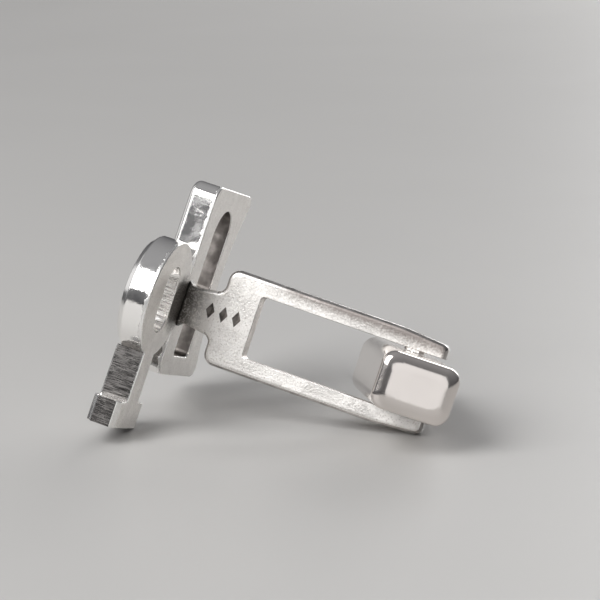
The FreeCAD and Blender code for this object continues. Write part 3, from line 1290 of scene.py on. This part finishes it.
@dataclass
class SwivelToggle:
    """Polished toggle: a tube, two end caps and the leaf spring inside. Millimetres and degrees."""

    bench: Bench
    swing: float = 18.5
    length: float = 16.4
    width: float = 6.1
    height: float = 4.5
    corner: float = 1.1
    cap_length: float = 1.6
    crown_depth: float = 0.85
    crown_reach: float = 1.5
    crown_fullness: float = 2.7
    crown_steps: int = 16
    wall: float = 0.8
    spigot_length: float = 0.9
    spigot_clearance: float = 0.03
    hole_radius: float = 0.43
    sharp_fold: float = 40.0

    def bar(self, name: str, inset: float, start: float, end: float) -> Workpiece:
        """Bar of the toggle's rounded section, or of a smaller one, along the toggle.

        Args:
            name: Name of the piece.
            inset: How far its sides lie inside the toggle's.
            start: Where it begins along the toggle.
            end: Where it ends.

        Returns:
            The bar.
        """
        across, rise = ((inset - size / 2, size / 2 - inset) for size in (self.width, self.height))
        piece = Workpiece.block(name, across, (min(start, end), max(start, end)), rise)
        piece.bevel(lambda edge: runs_along(edge, Y), self.corner - inset, segments=14)
        return piece

    def shell(self) -> Workpiece:
        """Models the tube with the pin's holes.

        Returns:
            The tube.
        """
        half = self.length / 2 - self.cap_length
        piece = self.bar("toggle_tube", 0.0, -half, half)
        piece.cut(self.bar("cutter", self.wall, -2 * half, 2 * half))
        reach = Z * self.height
        piece.cut(Workpiece.rod("cutter", self.hole_radius, -reach, reach, sides=48))
        return piece

    def crown(self, piece: Workpiece, outward: Vector) -> None:
        """Draws an end out in shrinking steps, to a soft crown that eases from the sides into the middle.

        Args:
            piece: The cap, as far as its rim.
            outward: Direction out of the toggle's end.
        """
        height, inset = 0.0, 0.0
        for step in range(1, self.crown_steps):
            turn = math.pi / 2 * step / self.crown_steps
            next_height = self.crown_depth * math.sin(turn) ** (2 / self.crown_fullness)
            next_inset = self.crown_reach * (1 - math.cos(turn) ** (2 / self.crown_fullness))
            spread = [(size / 2 - next_inset) / (size / 2 - inset) for size in (self.width, self.height)]
            piece.draw_out(outward, outward * (next_height - height), Vector((spread[0], 1, spread[1])))
            height, inset = next_height, next_inset

    def cap(self, end: ToggleEnd) -> Workpiece:
        """Models one end cap with its crowned end and its spigot.

        Args:
            end: Which end of the toggle it closes.

        Returns:
            The cap.
        """
        outward = Y * end.value
        seam = end.value * (self.length / 2 - self.cap_length)
        rim = end.value * (self.length / 2 - self.crown_depth)
        piece = self.bar(f"toggle_cap_{end.name.lower()}_polished", 0.0, seam, rim)
        self.crown(piece, outward)
        inset = 2 * (self.wall + self.spigot_clearance)
        spread = [(size - inset) / size for size in (self.width, self.height)]
        piece.draw_out(-outward, Vector(), Vector((spread[0], 1, spread[1])))
        piece.draw_out(
            -outward,
            -outward * self.spigot_length,
            within=lambda centre: max(abs(centre.x), abs(centre.z)) < self.wall / 2,
        )
        return piece

    def build(self) -> None:
        """Models, dresses and hands over the toggle's pieces, and finishes its leaf spring."""
        place = self.bench.toggle
        finishes = {Surface.POLISHED: WARM_MIRROR.make("toggle_mirror", place)}
        pieces = {"toggle_shell": self.shell()}
        for end in ToggleEnd:
            pieces[f"toggle_cap_{end.name.lower()}"] = self.cap(end)
        for node, piece in pieces.items():
            piece.dress(finishes, lambda spot, normal: Surface.POLISHED, self.sharp_fold)
            piece.hand_over(place, Body.TOGGLE, Slot.TOGGLE, node)
        dress_node("leaf_spring", SPRING_STEEL.make("leaf_steel", place))


def bearing(azimuth: float, elevation: float) -> Vector:
    """Unit vector from the object towards a place in the studio.

    Args:
        azimuth: Degrees round from the side that looks along +Y.
        elevation: Degrees above the floor.

    Returns:
        The vector.
    """
    turn, rise = math.radians(azimuth), math.radians(elevation)
    level = math.cos(rise)
    return Vector((math.sin(turn) * level, -math.cos(turn) * level, math.sin(rise)))


@dataclass(frozen=True)
class SoftBox:
    """One square lamp of the studio, aimed at the object. Metres and degrees."""

    name: str
    azimuth: float
    elevation: float
    distance: float
    size: float
    watts: float

    def hang(self, aim: Vector) -> None:
        """Hangs the lamp.

        Args:
            aim: Point that it faces.
        """
        back = bearing(self.azimuth, self.elevation)
        turn = back.to_track_quat("Z", "Y").to_euler()
        deselect()
        bpy.ops.object.light_add(type="AREA", location=aim + back * self.distance, rotation=turn)
        lamp = bpy.context.object
        lamp.name = self.name
        lamp.data.size = self.size
        lamp.data.energy = self.watts


@dataclass
class Studio:
    """Pale floor, soft lamps, sky and camera. Metres and degrees, but the floor's patches in millimetres."""

    floor_radius: float = 2.0
    floor_light: Colour = (0.56, 0.55, 0.535)
    floor_shade: Colour = (0.535, 0.525, 0.51)
    floor_patch: float = 25.0
    floor_roughness: float = 0.5
    sky_horizon: Colour = (0.07, 0.07, 0.074)
    sky_top: Colour = (0.32, 0.32, 0.328)
    aim: Triple = (0.0, -0.0001, 0.008)
    lamps: tuple[SoftBox, ...] = (
        SoftBox("key_box", -33, 43, 0.42, 0.30, 1.70),
        SoftBox("side_box", 30, 9, 0.50, 0.26, 0.18),
        SoftBox("back_box", 172, 15, 0.50, 0.26, 1.05),
        SoftBox("front_box", 262, 26, 0.50, 0.34, 0.26),
    )
    azimuth: float = 18.2
    elevation: float = 12.62
    roll: float = -0.79
    distance: float = 0.22
    lens: float = 170.86
    sensor: float = 36.0
    clip_start: float = 0.01
    offset: Span = (-0.000127, 0.001699)

    def lay_floor(self) -> None:
        """Adds the plain pale floor."""
        deselect()
        bpy.ops.mesh.primitive_circle_add(vertices=96, radius=self.floor_radius, fill_type="NGON")
        floor = bpy.context.object
        floor.name = "floor"
        recipe = Recipe("pale_floor", Matrix.Identity(4))
        colour = recipe.tone(recipe.noise(self.floor_patch), self.floor_light, self.floor_shade)
        recipe.feed(recipe.shader, {"Base Color": colour, "Roughness": self.floor_roughness})
        floor.data.materials.append(recipe.material)

    def light(self) -> None:
        """Sets the sky and hangs the lamps."""
        world = bpy.data.worlds.new("studio_sky")
        world.use_nodes = True
        tree = world.node_tree
        source = tree.nodes.new("ShaderNodeTexCoord")
        split = tree.nodes.new("ShaderNodeSeparateXYZ")
        ramp = tree.nodes.new("ShaderNodeValToRGB")
        for stop, colour in zip(ramp.color_ramp.elements, (self.sky_horizon, self.sky_top)):
            stop.color = (*colour, 1)
        tree.links.new(source.outputs["Generated"], split.inputs[0])
        tree.links.new(split.outputs["Z"], ramp.inputs["Fac"])
        tree.links.new(ramp.outputs["Color"], tree.nodes["Background"].inputs["Color"])
        bpy.context.scene.world = world
        for lamp in self.lamps:
            lamp.hang(Vector(self.aim))

    def set_camera(self) -> None:
        """Sets the camera at the photograph's viewing angle."""
        back = bearing(self.azimuth, self.elevation)
        roll = Matrix.Rotation(math.radians(self.roll), 3, "Z")
        turn = back.to_track_quat("Z", "Y").to_matrix() @ roll
        spot = Vector(self.aim) + turn @ Vector((*self.offset, 0.0)) + back * self.distance
        deselect()
        bpy.ops.object.camera_add(location=spot, rotation=turn.to_euler())
        camera = bpy.context.object
        camera.name = "photo_camera"
        camera.data.lens = self.lens
        camera.data.sensor_width = self.sensor
        camera.data.clip_start = self.clip_start
        bpy.context.scene.camera = camera

    def build(self) -> None:
        """Builds the whole studio."""
        self.lay_floor()
        self.light()
        self.set_camera()
        bpy.context.scene.view_settings.view_transform = "Standard"


def main() -> None:
    """Builds the cufflink round its frame, and the studio round the cufflink."""
    logging.basicConfig(level=logging.INFO, format="%(name)s: %(message)s")
    bench = Bench.from_joint(frame["joints"][0], ForkedPost.pivot_reach, SwivelToggle.swing)
    OpenworkFace(bench).build()
    ForkedPost(bench).build()
    SwivelToggle(bench).build()
    Studio().build()


if __name__ == "__main__":
    main()
